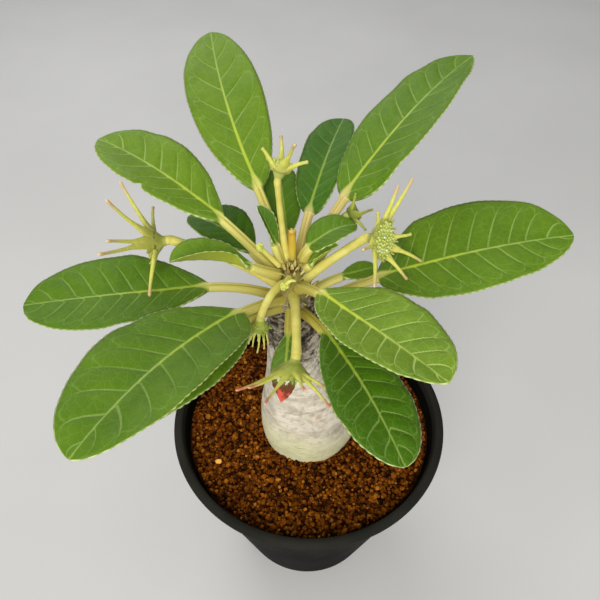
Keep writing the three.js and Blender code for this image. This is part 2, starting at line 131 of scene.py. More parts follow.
# name: azimuth, height, rise, turn, stalk, facing, neck, disc, bracts as around, length, lean
FLOWERS = {
    "flower_left": (170, 130.5, (36, 10), 1, 31.5, (188, -5), 5, 4.3,
                    ((-23, 13, 15), (17, 16.5, 16), (-92, 12, 0), (45, 15.5, 21),
                     (53, 18.5, 23), (113, 10.5, 7))),
    "flower_right": (7, 133, (45, 34), 0, 20.5, (-32, 18), 4.7, 5.1,
                     ((32, 8.5, 15), (46, 11.5, 20), (113, 5, 25), (146, 10, 25), (178, 8, 25),
                      (-103, 10.5, 20), (-67, 8, 10), (-10, 4, 10))),
    "flower_front": (-84, 131, (23, -23), -7, 20.7, (-110, -50), 4.5, 4.5,
                     ((-27, 13.5, 12), (-20, 11.5, 9), (-2, 12.5, 16), (32, 7, 2), (61, 7, -3),
                      (52, 12, 10))),
    "flower_young": (-117, 134.5, (53, -54), -3, 15.1, (-120, -78), 3, 2.3,
                     ((-100, 5, 78), (-150, 5.5, 84), (170, 5, 80), (120, 4.5, 77), (75, 5, 82),
                      (30, 5.5, 78), (-15, 4.5, 83), (-60, 5, 79))),
    "flower_back": (114, 138, (69, 84), 0, 22, (60, 60), 4, 3,
                    ((144, 9, 34), (-37, 10, 35), (-74, 5.5, 25), (35, 4, 35))),
    "flower_star": (38, 128, (53, 48), 0, 23, (20, 10), 2.5, 2.2,
                    ((-50, 9.5, 10), (5, 4, 15), (121, 8, 21), (-104, 4, 5))),
}
FLOWER_STALK_RADIUS = 1.2
BRACT_FOOT_RADIUS = 1.05
BRACT_TIP_RADIUS = 0.4
SLENDER = {"flower_young": 0.5, "flower_front": 0.76, "flower_star": 0.8}  # thinner bracts
THIN_STALK = {"flower_young": 0.82, "flower_back": 0.68}

# name: azimuth, height, rise, length, radius, knob
STUBS = {
    "cut_stalk": (88, 138, 85, 9, 0.98, 0),
    "bud_back": (172, 138, 50, 7.5, 0.6, 1.35),
    "bud_front": (-103, 137, 20, 5, 0.8, 1.35),
}

# The stem's outline: height, centre x and y, radius
STEM = np.array([
    (34, 1, 0, 1.6), (44, 1, 0, 3.4), (54, 0.5, 0, 9), (60, 0, 0.5, 13.4), (66, 0, 0.5, 15.4),
    (72, -0.3, 0.5, 15.7), (79, -1, 0.3, 14.6), (88, -2, 0, 12.2), (98, -3.2, 0, 9.8),
    (108, -4.2, 0.3, 8.4), (118, -4.8, 0.7, 7.4), (126, -5, 1, 6.3), (130, -5, 1, 5.2),
    (134, -5, 1, 3.2), (136.5, -5, 1, 1.9), (137.6, -5, 1, 0.9),
])

POT_HEIGHT = 72
RIM_RADIUS = 45
MOUTH_RADIUS = 42
BASE_RADIUS = 26.5
WALL = 1.2
LIP_RADIUS = 1.6
DRAIN_RADIUS = 3
DRAIN_CIRCLE = 18
DRAIN_COUNT = 8
FLOOR_RINGS = (14, 22)  # plain rings of the floor on both sides of the drain holes
SOIL_LEVEL = 66
GOLDEN = 137.508  # turn from one leaf scar, scale or grain to the next

# ---- small helpers


def heading(azimuth, rise):
    a, e = np.radians(azimuth), np.radians(rise)
    return np.stack([np.cos(e) * np.cos(a), np.cos(e) * np.sin(a), np.sin(e)], -1)


def left_of(azimuth):
    a = np.radians(azimuth)
    return np.stack([-np.sin(a), np.cos(a), np.zeros_like(a)], -1)


def circle(sides):
    """The angles of a ring's points, in radians."""
    return np.linspace(0, 2 * np.pi, sides, endpoint=False)


def wrapped(angle):
    """The same angle within half a turn of zero."""
    return (angle + np.pi) % (2 * np.pi) - np.pi


def unit(vectors):
    return vectors / np.maximum(np.linalg.norm(vectors, axis=-1, keepdims=True), 1e-9)


def smooth(x, low, high):
    t = np.clip((x - low) / (high - low), 0, 1)
    return t * t * (3 - 2 * t)


def blend(a, b, t):
    return a + (b - a) * t


def rng(text):
    """A random source of its own for each named piece."""
    return np.random.default_rng(sum((i + 1) * ord(c) for i, c in enumerate(text)))


def wander(source, x, period, count=4):
    """A smooth random curve of x, about -1 to 1, whose slowest wave has that period."""
    total = np.zeros_like(x)
    for k in range(count):
        wave = 2 * np.pi * (k + 1) / period
        phase = source.uniform(0, 2 * np.pi)
        total += np.sin(wave * x + phase) * source.uniform(0.4, 1) / (k + 1)
    return total / 1.5


def grow(start, azimuths, rises, length, steps):
    """Frames along a stalk that bends evenly: points, along, left and up."""
    t = np.linspace(0, 1, steps + 1)
    half = (t[1:] + t[:-1]) / 2
    step = heading(blend(*azimuths, half), blend(*rises, half)) * length / steps
    points = start + np.concatenate([np.zeros((1, 3)), np.cumsum(step, 0)])
    azimuth = blend(*azimuths, t)
    along = heading(azimuth, blend(*rises, t))
    left = left_of(azimuth)
    return points, along, left, np.cross(along, left)


def root_of(azimuth, height):
    out = heading(azimuth, 0.0) * ROOT_INSET
    return np.array([CROWN[0] + out[0], CROWN[1] + out[1], height])


def placed(name, data):
    """A new object in the scene."""
    made = bpy.data.objects.new(name, data)
    bpy.context.scene.collection.objects.link(made)
    return made


class Shape:
    """Vertices, faces and values per vertex of one mesh that grows bit by bit."""

    def __init__(self, *values):
        self.names = values
        self.points, self.faces, self.columns = [], [], {n: [] for n in values}
        self.count = 0

    def add(self, points, faces, **values):
        points = np.asarray(points, float).reshape(-1, 3)
        self.points.append(points)
        self.faces += [tuple(int(i) + self.count for i in face) for face in faces]
        for n in self.names:
            value = np.broadcast_to(values.get(n, 0.0), (len(points),))
            self.columns[n].append(value)
        self.count += len(points)

    def rings(self, grid, **values):
        """A closed skin over rows of closed rings, with a point in the middle of each end."""
        rows, sides = grid.shape[:2]
        points = np.concatenate([grid.reshape(-1, 3), grid[:1].mean(1), grid[-1:].mean(1)])
        this = np.arange(rows * sides).reshape(rows, sides)
        following = np.roll(this, -1, 1)
        quads = np.stack([this[:-1], following[:-1], following[1:], this[1:]], -1).reshape(-1, 4)
        middle = np.full(sides, rows * sides)
        cap = np.stack([middle, following[0], this[0]], -1)
        end = np.stack([middle + 1, this[-1], following[-1]], -1)
        full = {}
        for name, value in values.items():
            value = np.broadcast_to(value, (rows, sides))
            full[name] = np.concatenate([value.ravel(), value[:1].mean(1), value[-1:].mean(1)])
        self.add(points, [*quads.tolist(), *cap.tolist(), *end.tolist()], **full)

    def tendril(self, line, radius, sides, **values):
        """A tube along a line that runs any way."""
        left, up = beside(line)
        self.rings(tube(line, left, up, radius, sides), **values)

    def piece(self, name, node, material, flat=False):
        """The finished piece, standing for a CAD node."""
        mesh = bpy.data.meshes.new(name)
        points = np.concatenate(self.points) * MM
        mesh.from_pydata(points.tolist(), [], self.faces)
        for n in self.names:
            layer = mesh.attributes.new(n, "FLOAT", "POINT")
            layer.data.foreach_set("value", np.concatenate(self.columns[n]).astype(np.float32))
        mesh.polygons.foreach_set("use_smooth", [not flat] * len(mesh.polygons))
        mesh.materials.append(material)
        mesh.update()
        made = placed(name, mesh)
        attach(made, "root")
        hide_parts(node)
        return made


def facing(grid):
    """Normals of a grid of rings, for moving its points in and out."""
    along = np.gradient(grid, axis=0)
    around = (np.roll(grid, -1, 1) - np.roll(grid, 1, 1)) / 2
    return unit(np.cross(around, along))


def tube(points, left, up, radius, sides):
    """Rings around a line; radius may be one number or one per point."""
    a = circle(sides)
    radius = np.broadcast_to(radius, (len(points),))[:, None, None]
    ring = left[:, None] * np.cos(a)[None, :, None] + up[:, None] * np.sin(a)[None, :, None]
    return points[:, None] + radius * ring


def beside(points):
    """Left and up vectors along a line of points in any direction."""
    along = unit(np.gradient(points, axis=0))
    nearly_up = np.array([0.31, 0.17, 0.93])
    left = unit(np.cross(nearly_up, along))
    return left, np.cross(along, left)


def turned(radius, level, sides):
    """Rings round the upright axis, one for each radius and level."""
    a = circle(sides)
    radius, level = np.asarray(radius, float)[:, None], np.asarray(level, float)[:, None]
    height = np.broadcast_to(level, (len(level), sides))
    return np.stack([radius * np.cos(a), radius * np.sin(a), height], -1)


RATIO = 0.5 * (1 + math.sqrt(5))  # the golden ratio, which places an icosahedron's corners
ICO_POINTS = np.array([
    (-1, RATIO, 0), (1, RATIO, 0), (-1, -RATIO, 0), (1, -RATIO, 0),
    (0, -1, RATIO), (0, 1, RATIO), (0, -1, -RATIO), (0, 1, -RATIO),
    (RATIO, 0, -1), (RATIO, 0, 1), (-RATIO, 0, -1), (-RATIO, 0, 1),
]) / math.hypot(1, RATIO)
ICO_FACES = np.array([
    (0, 11, 5), (0, 5, 1), (0, 1, 7), (0, 7, 10), (0, 10, 11), (1, 5, 9), (5, 11, 4),
    (11, 10, 2), (10, 7, 6), (7, 1, 8), (3, 9, 4), (3, 4, 2), (3, 2, 6), (3, 6, 8), (3, 8, 9),
    (4, 9, 5), (2, 4, 11), (6, 2, 10), (8, 6, 7), (9, 8, 1),
])


def knot(source, size, low, high):
    """The corners of a granule, a ball of twenty faces, each moved in or out."""
    return ICO_POINTS * size * source.uniform(low, high, (len(ICO_POINTS), 1))


# ---- shader helpers


def srgb(r, g, b):
    """An 8-bit sRGB colour as the linear RGBA that sockets take."""
    parts = [c / 255 for c in (r, g, b)]
    return (*[c / 12.92 if c <= 0.04045 else ((c + 0.055) / 1.055) ** 2.4 for c in parts], 1)


def between(a, b, t):
    """A colour between two others, in linear light."""
    return tuple(blend(x, y, t) for x, y in zip(a, b))


class Shader:
    """A node material written as nested calls; noise and cells are scaled per metre."""

    def __init__(self, name, **settings):
        self.material = bpy.data.materials.new(name)
        self.material.use_nodes = True
        self.tree = self.material.node_tree
        self.tree.nodes.clear()
        out = self.tree.nodes.new("ShaderNodeOutputMaterial")
        self.body = self.tree.nodes.new("ShaderNodeBsdfPrincipled")
        self.tree.links.new(self.body.outputs[0], out.inputs[0])
        self.give(**settings)
        self.place = self.node("TexCoord", {})["Object"]

    def put(self, socket, value):
        if isinstance(value, bpy.types.NodeSocket):
            self.tree.links.new(value, socket)
        else:
            socket.default_value = value

    def give(self, **values):
        for name, value in values.items():
            self.put(self.body.inputs[name.replace("_", " ")], value)
        return self.material

    def node(self, kind, inputs, **settings):
        """The outputs of a new node, whose inputs are given by their name or number."""
        made = self.tree.nodes.new("ShaderNode" + kind)
        for name, setting in settings.items():
            setattr(made, name, setting)
        for key, value in inputs.items():
            self.put(made.inputs[key], value)
        return made.outputs

    def value(self, name):
        return self.node("Attribute", {}, attribute_name=name)["Fac"]

    def math(self, operation, a, b=0.0):
        return self.node("Math", {0: a, 1: b}, operation=operation)[0]

    def plus(self, a, b):
        return self.math("ADD", a, b)

    def times(self, a, b):
        return self.math("MULTIPLY", a, b)

    def step(self, value, low, high, to_low=0.0, to_high=1.0):
        """A smooth step of value from to_low at low to to_high at high."""
        inputs = dict(enumerate((value, low, high, to_low, to_high)))
        return self.node("MapRange", inputs, interpolation_type="SMOOTHSTEP")[0]

    def mix(self, factor, a, b):
        return self.node("Mix", {0: factor, 6: a, 7: b}, data_type="RGBA")[2]

    def mottle(self, pattern, low, high, a, b):
        """Colour a where the pattern is low and b where it is high."""
        return self.mix(self.step(pattern, low, high), a, b)

    def joined(self, x, y, z):
        return self.node("CombineXYZ", {0: x, 1: y, 2: z})[0]

    def parted(self):
        """The x, y and z of the place on the object, in metres."""
        return self.node("SeparateXYZ", {0: self.place})

    def stretched(self, x, y, z):
        return self.node("Mapping", {"Vector": self.place, "Scale": (x, y, z)})[0]

    def noise(self, scale, detail=4.0, rough=0.55, place=None, warp=0.0):
        inputs = {"Vector": place or self.place, "Scale": scale, "Detail": detail,
                  "Roughness": rough, "Distortion": warp}
        return self.node("TexNoise", inputs)["Fac"]

    def cells(self, scale, feature="DISTANCE_TO_EDGE", place=None):
        inputs = {"Vector": place or self.place, "Scale": scale}
        return self.node("TexVoronoi", inputs, feature=feature)["Distance"]

    def ramp(self, factor, *stops):
        made = self.tree.nodes.new("ShaderNodeValToRGB")
        self.put(made.inputs[0], factor)
        marks = made.color_ramp.elements
        for i, (at, colour) in enumerate(stops):
            mark = marks[i] if i < 2 else marks.new(at)
            mark.position, mark.color = at, colour
        return made.outputs[0]

    def bump(self, height, strength, distance):
        inputs = {"Strength": strength, "Distance": distance, "Height": height}
        return self.node("Bump", inputs)[0]

    def surface(self, colour, grain, smoothest, roughest, bump):
        """The finished material, whose roughness follows its grain."""
        roughness = self.step(grain, 0.2, 0.8, smoothest, roughest)
        return self.give(Base_Color=colour, Roughness=roughness, Normal=bump)


# ---- leaves

STALK_STEP, BLADE_STEP = 0.8, 0.42  # how far apart the rings stand
END = 0.9985  # the outline is read no further along than this, so that it never closes
MARGIN_WAVE = 0.022  # the margin's waves, as a share of the half width
TOOTH_PITCH, TOOTH_DEPTH = 1.75, 0.2
NOTCHED = "leaf_left_upper"  # a notch halfway along its left margin
LEAST_WIDTH = 0.12
SHEATH, SHEATH_REACH = 0.5, 4.5  # a stalk's foot is that much thicker, over about that length
SKIN, KEEL, CHANNEL = 0.36, 0.85, 0.34  # half thickness, keel below, channel in the stalk
QUILT, BOW = 0.36, 0.55  # relief between the side veins, slow bow of the halves
VALLEY, SLOPE = 1.1, 1.06  # half width of the fold's round bottom, factor on its slope
VEINED = 0.93  # share of the blade that the side veins' feet take up
VEIN_LEAN = (1.15, 0.2, 0.25)  # how far a side vein runs on, in spacings: x, x^2 and x^5


def half_outline(t, half_width, widest, taper):
    """Half width at t of a blade that is widest at one place and rounds off at its ends."""
    foot = (t / widest) ** widest
    tip = ((1 - t) / (1 - widest)) ** (1 - widest)
    return half_width * (foot * tip) ** taper


def outline_of(name, t, s):
    """Half width of a blade at t, on the left where s is positive and on the right elsewhere."""
    left, right = (half_outline(t, *half) for half in HALVES[name])
    return blend(right, left, smooth(s, -0.05, 0.05))


def leaf_line(name):
    """Frames along a stalk and its blade, with their places on the blade and on the stalk."""
    azimuth, height, rise, stalk, blade, _, turn, _, _ = LEAVES[name]
    stalk_steps = max(8, int(stalk / STALK_STEP))
    blade_steps = max(30, int(blade / BLADE_STEP))
    first = grow(root_of(azimuth, height), (azimuth, azimuth), rise[:2], stalk, stalk_steps)
    second = grow(first[0][-1], (azimuth, azimuth + turn), rise[1:], blade, blade_steps)
    points, _, left, up = (np.concatenate([a[:-1], b]) for a, b in zip(first, second))
    t = np.concatenate([np.zeros(stalk_steps), np.linspace(0, 1, blade_steps + 1)])
    down = np.minimum(np.arange(len(t)) * stalk / stalk_steps, stalk)
    return points, left, up, t[:, None], down[:, None]


def leaf_section(half_width, on_stalk):
    """Round a section: s is 1 at the left margin and -1 at the right; over is the face's side."""
    half = max(10, int(half_width / BLADE_STEP))
    a = np.arange(2 * half) / half * np.pi
    straight = np.where(a <= np.pi, 1 - 2 * a / np.pi, -3 + 2 * a / np.pi)
    over = np.sign(np.round(np.sin(a), 6))[None]
    return blend(straight[None], np.cos(a)[None], on_stalk), over


def leaf_margin(name, source, t, s, ease):
    """Half width of the waved and toothed blade, and the teeth by themselves."""
    blade = LEAVES[name][4]
    u = t * blade
    uneven = np.where(s > 0, wander(source, u, blade * 1.1), wander(source, u, blade))
    teeth = np.abs(np.sin(np.pi * u / TOOTH_PITCH + 0.8 * np.sign(s)))
    outline = outline_of(name, np.minimum(t, END), s) * (1 + MARGIN_WAVE * uneven * ease)
    outline = outline + (TOOTH_DEPTH * teeth - TOOTH_DEPTH / 2) * ease
    if name == NOTCHED:
        outline = outline * (1 - 0.15 * np.exp(-((t - 0.5) / 0.02) ** 2) * (s > 0))
    return outline, teeth


def leaf_veins(source, spacing, t, s, width):
    """q counts the side veins, off is 0 on one and 0.5 between two, arc is 0 on their loops."""
    xi = np.abs(s)
    side = smooth(s, -0.04, 0.04)
    near, middle, far = VEIN_LEAN
    at_rib = t - spacing * (near * xi + middle * xi ** 2 + far * xi ** 5)
    uneven = blend(wander(source, at_rib, 0.62, 3), wander(source, at_rib, 0.55, 3), side)
    q = (at_rib - 0.05) / spacing + 0.5 * side + 0.2 * uneven
    off = np.abs((q % 1) - 0.5)
    arc = (0.86 - 0.22 * np.abs(1 - 2 * off) ** 1.6 - xi) * width
    return q, off, arc


def leaf_skin(half_width, flare, t, s, x, over, on_stalk, ease):
    """How far each face stands off the middle sheet, with the keel and the stalk's channel."""
    body = blend(SKIN, STALK_RADIUS * flare, on_stalk) * blend(1.0, 0.62, t ** 2)
    round_edge = np.sqrt(np.clip(1 - s ** 2, 0, 1))
    flat_edge = np.sqrt(np.clip(1 - np.abs(s) ** 5, 0, 1))
    skin = body * blend(flat_edge, round_edge, on_stalk) * over
    keel = blend(KEEL, 0.22, smooth(t, 0.0, 1.0)) * min(1, half_width / 7)
    rib = np.exp(-(x / blend(1.1, 0.5, t)) ** 2) * (1 - on_stalk) * ease
    skin -= np.where(over < 0, keel * rib, -0.10 * keel * rib)
    return skin - np.exp(-(x / CHANNEL) ** 2) * CHANNEL * on_stalk * (over > 0)


def leaf_sheet(name, source, spacing, t, s, off):
    """The middle sheet's relief: quilting between the side veins and a slow bow."""
    blade, half_width = LEAVES[name][4:6]
    u = t * blade
    xi = np.abs(s)
    size = min(1.0, half_width / 8)
    near_vein = np.exp(-(off * spacing * blade / 0.6) ** 2)
    lift = (1 - near_vein) * QUILT * np.sin(np.pi * np.clip(xi, 0, 1)) ** 0.7
    lift -= 0.12 * near_vein * (1 - xi)
    sway = blend(wander(source, u, blade * 0.55), wander(source, u, blade * 0.6),
                 smooth(s, -0.04, 0.04))
    return lift * size + BOW * size * xi ** 2 * sway


def leaf_folded(name, t, s, x, out, on_stalk):
    """A blade folded along its midrib, with its halves stood up, then rolled about its length."""
    roll, fold = LEAVES[name][7:]
    valley = VALLEY * (1 - on_stalk) + 0.01
    slope = SLOPE * math.tan(math.radians(fold))
    out = out + (np.sqrt(x ** 2 + valley ** 2) - valley) * slope * (1 - on_stalk)
    left_foot, left_tip, right_foot, right_tip = FOLDED.get(name, (0, 0, 0, 0))
    stand = np.where(s > 0, blend(left_foot, left_tip, t), blend(right_foot, right_tip, t))
    stand = np.radians(stand) * (1 - on_stalk)
    hinge = np.sqrt(x ** 2 + 0.16) - 0.4
    out, flat_x = out * np.cos(stand) + hinge * np.sin(stand), x * np.cos(stand)
    angle = math.radians(roll) * (1 - on_stalk)
    across = flat_x * np.cos(angle) - out * np.sin(angle)
    above = flat_x * np.sin(angle) + out * np.cos(angle)
    return across, above


def make_leaf(name):
    blade, half_width = LEAVES[name][4:6]
    spacing = VEINED / LOOKS[name][3]
    source = rng(name)
    points, left, up, t, down = leaf_line(name)
    on_stalk = np.clip(1 - 4 * t, 0, 1)  # fades out over the blade's first quarter
    ease = (1 - on_stalk) * smooth(1 - t, 0.0, 0.12)
    s, over = leaf_section(half_width, on_stalk)
    outline, teeth = leaf_margin(name, source, t, s, ease)
    flare = 1 + SHEATH * min(1, half_width / 8) * np.exp(-down / SHEATH_REACH)
    width = np.maximum(outline, np.maximum(STALK_RADIUS * flare * on_stalk, LEAST_WIDTH))
    x = s * width
    q, off, arc = leaf_veins(source, spacing, t, s, width)
    out = leaf_skin(half_width, flare, t, s, x, over, on_stalk, ease)
    out = out + leaf_sheet(name, source, spacing, t, s, off) * ease
    across, above = leaf_folded(name, t, s, x, out, on_stalk)
    grid = points[:, None] + left[:, None] * across[..., None] + up[:, None] * above[..., None]

    # along is below 0 on the stalk
    along = t + np.linspace(-0.4, 0, len(t))[:, None] * (t == 0)
    shape = Shape("vein_q", "vein_x", "edge", "arc", "tooth", "along", "under", "fade")
    shape.rings(grid, vein_q=q, vein_x=x, edge=width - np.abs(x), arc=arc, tooth=teeth,
                along=along, under=np.where(over < 0, 1.0, 0.0), fade=np.abs(s))
    return shape.piece(name, name, leaf_material(name, spacing * blade))


STALK_TINTS = (  # light and dark
    (srgb(226, 218, 126), srgb(202, 194, 92)),
    (srgb(222, 204, 134), srgb(204, 184, 104)),
    (srgb(200, 192, 84), srgb(178, 162, 58)),
)


def leaf_material(name, spacing):
    light, veins, tint, _ = LOOKS[name]
    m = Shader(name + "_skin", Specular_IOR_Level=0.2, Sheen_Weight=0.03, Sheen_Roughness=0.5)
    patches = m.noise(130, 3)
    fine = m.noise(900, 3)
    deep = between(srgb(50, 90, 2), srgb(102, 136, 12), light)
    pale = between(srgb(76, 116, 4), srgb(132, 162, 36), light)
    green = m.mix(m.step(patches, 0.25, 0.75, 0.25, 0.8), deep, pale)
    bright = between(srgb(128, 160, 82), srgb(184, 206, 112), veins)
    # A net of the finest veins
    young = name in FOLDED
    net = m.step(m.cells(1050), 0.0, 0.09, 1.0, 0.0)
    green = m.mix(m.times(net, 0.5 if young else 0.26), green, pale)
    branches = m.step(m.cells(430), 0.0, 0.07, 1.0, 0.0)
    green = m.mix(m.times(branches, 0.06 + 0.08 * veins), green, bright)
    speck = m.step(fine, 0.35, 0.72)
    green = m.mix(m.times(speck, 0.55 if young else 0.36), green, pale)
    # Side veins and the loops that join them near the margin
    q = m.value("vein_q")
    from_vein = m.math("ABSOLUTE", m.math("SUBTRACT", m.math("FRACT", q), 0.5))
    from_vein = m.times(from_vein, spacing)
    fade = m.value("fade")
    vein_half = m.step(fade, 0.1, 0.85, 0.38, 0.2)
    vein = m.step(m.math("DIVIDE", from_vein, vein_half), 0.2, 1.0, 1.0, 0.0)
    vein = m.times(vein, m.step(fade, 0.5, 0.95, 0.2 + 0.62 * veins, 0.05))
    vein = m.times(vein, m.step(m.noise(110, 2), 0.3, 0.6, 0.6, 1.0))
    loops = m.step(m.math("ABSOLUTE", m.value("arc")), 0.03, 0.28, 0.06 + 0.24 * veins, 0.0)
    vein = m.math("MAXIMUM", vein, loops)
    colour = m.mix(vein, green, bright)
    # Midrib, from the stalk's width to a thread
    t = m.value("along")
    x = m.math("ABSOLUTE", m.value("vein_x"))
    stalk_light, stalk_dark = STALK_TINTS[tint]
    thinning = m.step(t, 0.0, 1.0, 0.55 + 0.15 * veins, 0.26)
    rib_half = m.plus(m.step(t, 0.0, 0.1, 1.4, 0.0), thinning)
    rib = m.step(m.math("DIVIDE", x, rib_half), 0.3, 1.0, 1.0, 0.0)
    rib_foot = between(srgb(146, 174, 58), srgb(208, 222, 64), veins)
    rib_end = between(srgb(146, 176, 98), srgb(190, 212, 100), veins)
    rib_colour = m.mottle(t, 0.25, 0.75, rib_foot, rib_end)
    rib_colour = m.mix(m.step(t, 0.0, 0.12, 0.9, 0.0), rib_colour, stalk_light)
    strength = m.step(t, 0.3, 1.0, 0.66 + 0.28 * veins, 0.45)
    colour = m.mix(m.times(rib, strength), colour, rib_colour)
    # Underside, paler and duller
    under = m.mix(0.8 if young else 0.5, colour, srgb(170, 180, 56))
    colour = m.mix(m.value("under"), colour, under)
    # Thin pale margin, dotted along its teeth
    dots = m.step(m.value("tooth"), 0.3, 0.95, 0.36, 1.0)
    margin = m.times(m.step(m.value("edge"), 0.14, 0.44, 1.0, 0.0), dots)
    margin = m.times(margin, m.step(t, 0.0, 0.12))
    colour = m.mix(margin, colour, srgb(208, 218, 146))
    # Stalk, streaked along its length, with painted shade in its channel and at its foot
    face = m.value("under")
    lines = m.noise(1.5, 3, place=m.joined(m.value("vein_x"), face, m.times(t, 4)))
    stalk = m.mottle(lines, 0.3, 0.66, stalk_dark, stalk_light)
    # Painted shade: the groove on the stalk's upper face is darkened
    channel_shade = m.times(m.step(x, 0.08, 0.4, 0.34, 0.0), m.step(face, 0.2, 0.8, 1, 0))
    stalk = m.mix(channel_shade, stalk, srgb(150, 142, 44))
    # Painted shade: the stalk's foot, where the stalks crowd together at the crown, is darkened
    # towards olive-brown
    stalk = m.mix(m.step(t, -0.4, -0.3, 0.6, 0.0), stalk, srgb(158, 142, 56))
    colour = m.mix(m.step(t, -0.012, 0.012, 1.0, 0.0), colour, stalk)
    if name == BROWNED:
        ends = m.plus(t, m.step(m.noise(420, 4), 0.2, 0.8, -0.1, 0.1))
        colour = m.mix(m.step(ends, 0.6, 0.78), colour, srgb(104, 54, 26))
        colour = m.mix(m.step(ends, 0.8, 0.9), colour, srgb(214, 84, 66))
    relief = m.plus(m.plus(m.times(net, -0.5), m.times(vein, -0.8)), fine)
    return m.surface(colour, fine, 0.42, 0.58, m.bump(relief, 0.35, 0.00022))


# ---- flower heads


def flower_material(name, green, hue, blush):
    """hue colours the cup and blush the bracts' ends; green darkens the whole head with painted
    shade.
    """
    m = Shader(name, Specular_IOR_Level=0.22, Sheen_Weight=0.04, Sheen_Roughness=0.5)
    fine = m.noise(1100, 3)
    stalk = m.mottle(m.noise(260, 4), 0.3, 0.75, srgb(204, 194, 92), srgb(226, 216, 122))
    cup = m.mix(m.step(m.noise(420, 4), 0.35, 0.7), hue, m.mix(0.5, hue, srgb(196, 200, 104)))
    finger = m.mottle(fine, 0.3, 0.7, srgb(204, 206, 84), srgb(226, 220, 116))
    tip = m.value("tip")
    finger = m.mix(m.times(m.step(tip, 0.0, 0.35, 1, 0), 0.6), finger, hue)
    ends = m.ramp(tip, (0.0, srgb(190, 196, 84)), (0.72, srgb(212, 204, 116)),
                  (0.9, blush), (0.97, blush), (1.0, srgb(232, 220, 176)))
    finger = m.mottle(tip, 0.55, 0.85, finger, ends)
    grain = m.mottle(m.noise(1500, 2), 0.35, 0.65, srgb(182, 196, 84), srgb(224, 230, 140))
    colour, white = stalk, srgb(236, 236, 214)
    for part, paint in zip(("cup", "finger", "grain", "white"), (cup, finger, grain, white)):
        colour = m.mottle(m.value(part), 0.3, 0.7, colour, paint)
    # Painted shade: green darkens the whole head towards deep olive
    colour = m.mix(green, colour, srgb(74, 104, 24))
    return m.surface(colour, fine, 0.42, 0.62, m.bump(fine, 0.3, 0.0002))


FLOWER_VALUES = ("tip", "cup", "finger", "grain", "white")
CUP_SIDES, CUP_RINGS = 72, 44
BRACT_START = 0.6  # where a bract leaves the disc, as a share of the disc's radius
GRANULES_PER_MM, TEETH_PER_MM = 14, 4  # for each millimetre of the disc's radius
TURN_OF_SEEDS = 2.39996  # radians from one granule of the disc to the next
STYLES = {"flower_front": 16, "flower_left": 2}  # white threads over the near rim


class Head:
    """Where a flower head sits: the way it faces, the middle of its rim and its radius."""

    def __init__(self, apex, face, neck, disc):
        azimuth, rise = map(float, face)
        self.ahead = heading(azimuth, rise)
        self.sideways = left_of(azimuth)
        self.top = np.cross(self.ahead, self.sideways)
        self.centre = apex + self.ahead * neck
        self.disc = disc

    def outward(self, angle):
        return self.top * math.cos(angle) + self.sideways * math.sin(angle)


def make_flower(name, green, hue, blush):
    azimuth, height, rise, turn, length, face, neck, disc, bracts = FLOWERS[name]
    source = rng(name)
    shape = Shape(*FLOWER_VALUES)
    points, _, left, up = grow(root_of(azimuth, height), (azimuth, azimuth + turn), rise,
                               length, 24)
    t = np.linspace(0, 1, len(points))
    stalk_radius = FLOWER_STALK_RADIUS * THIN_STALK.get(name, 1)
    thick = stalk_radius * (0.94 + 0.4 * np.exp(-t * length / 5) + 0.10 * smooth(t, 0.85, 1))
    grid = tube(points, left, up, thick, 20)
    grid += facing(grid) * (0.05 * wander(source, t * length, 9)[:, None, None])
    shape.rings(grid)

    head = Head(points[-1], face, neck, disc)
    add_cup(shape, head, points[-1], neck, stalk_radius, bracts)
    for bract in bracts:
        add_bract(shape, source, head, *bract, SLENDER.get(name, 1))
    add_granules(shape, source, head)
    add_teeth(shape, source, head)
    add_styles(shape, source, head, STYLES.get(name, 0))
    material = flower_material(name + "_skin", green, hue, blush)
    return shape.piece(name, name, material)


def add_cup(shape, head, apex, neck, stalk_radius, bracts):
    """The neck that widens to the rim, and the shallow dome inside it."""
    disc = head.disc
    profile = np.array([
        (0.3, -1), (0.9, -0.6), (1.04, neck * 0.12), (1.28, neck * 0.34),
        (0.62 * disc, neck * 0.6), (0.86 * disc, neck * 0.84), (0.98 * disc, neck * 0.95),
        (disc, neck + 0.1), (0.95 * disc, neck + 0.5), (0.86 * disc, neck + 0.62),
        (0.6 * disc, neck + 0.6), (0.3 * disc, neck + 0.55), (0.05, neck + 0.5),
    ])
    profile[:3, 0] *= stalk_radius
    corners = np.arange(len(profile))
    fine = np.linspace(0, len(profile) - 1, CUP_RINGS)
    radius = np.interp(fine, corners, profile[:, 0])
    level = np.interp(fine, corners, profile[:, 1])
    # Ribs run down the cup from the foot of each bract
    a = circle(CUP_SIDES)
    ribs = np.zeros(CUP_SIDES)
    for around, long, _ in bracts:
        gap = wrapped(a - math.radians(around))
        ribs += np.exp(-(gap / 0.26) ** 2) * min(1, long / 9)
    ribs += 0.35 * np.cos(11 * a) * (1 - np.clip(ribs, 0, 1))
    low, wide = smooth(level, 0, neck * 0.8), smooth(radius, 0.3 * disc, 0.9 * disc)
    high, rim = smooth(level, neck * 0.15, neck * 0.9), smooth(radius, disc * 0.8, disc)
    swell = (low * wide)[:, None] * (0.1 * disc * (ribs[None] - 0.4))
    crimp = (high * rim)[:, None] * 0.06 * disc * np.cos(23 * a)
    spread = radius[:, None] + swell + crimp
    outward = head.top * np.cos(a)[:, None] + head.sideways * np.sin(a)[:, None]
    grid = apex + spread[..., None] * outward[None] + level[:, None, None] * head.ahead
    inside = (level > neck + 0.45) & (radius < 0.8 * disc)
    shape.rings(grid[:, ::-1], cup=smooth(level, 0, neck * 0.35)[:, None],
                grain=np.where(inside, 1.0, 0.0)[:, None])


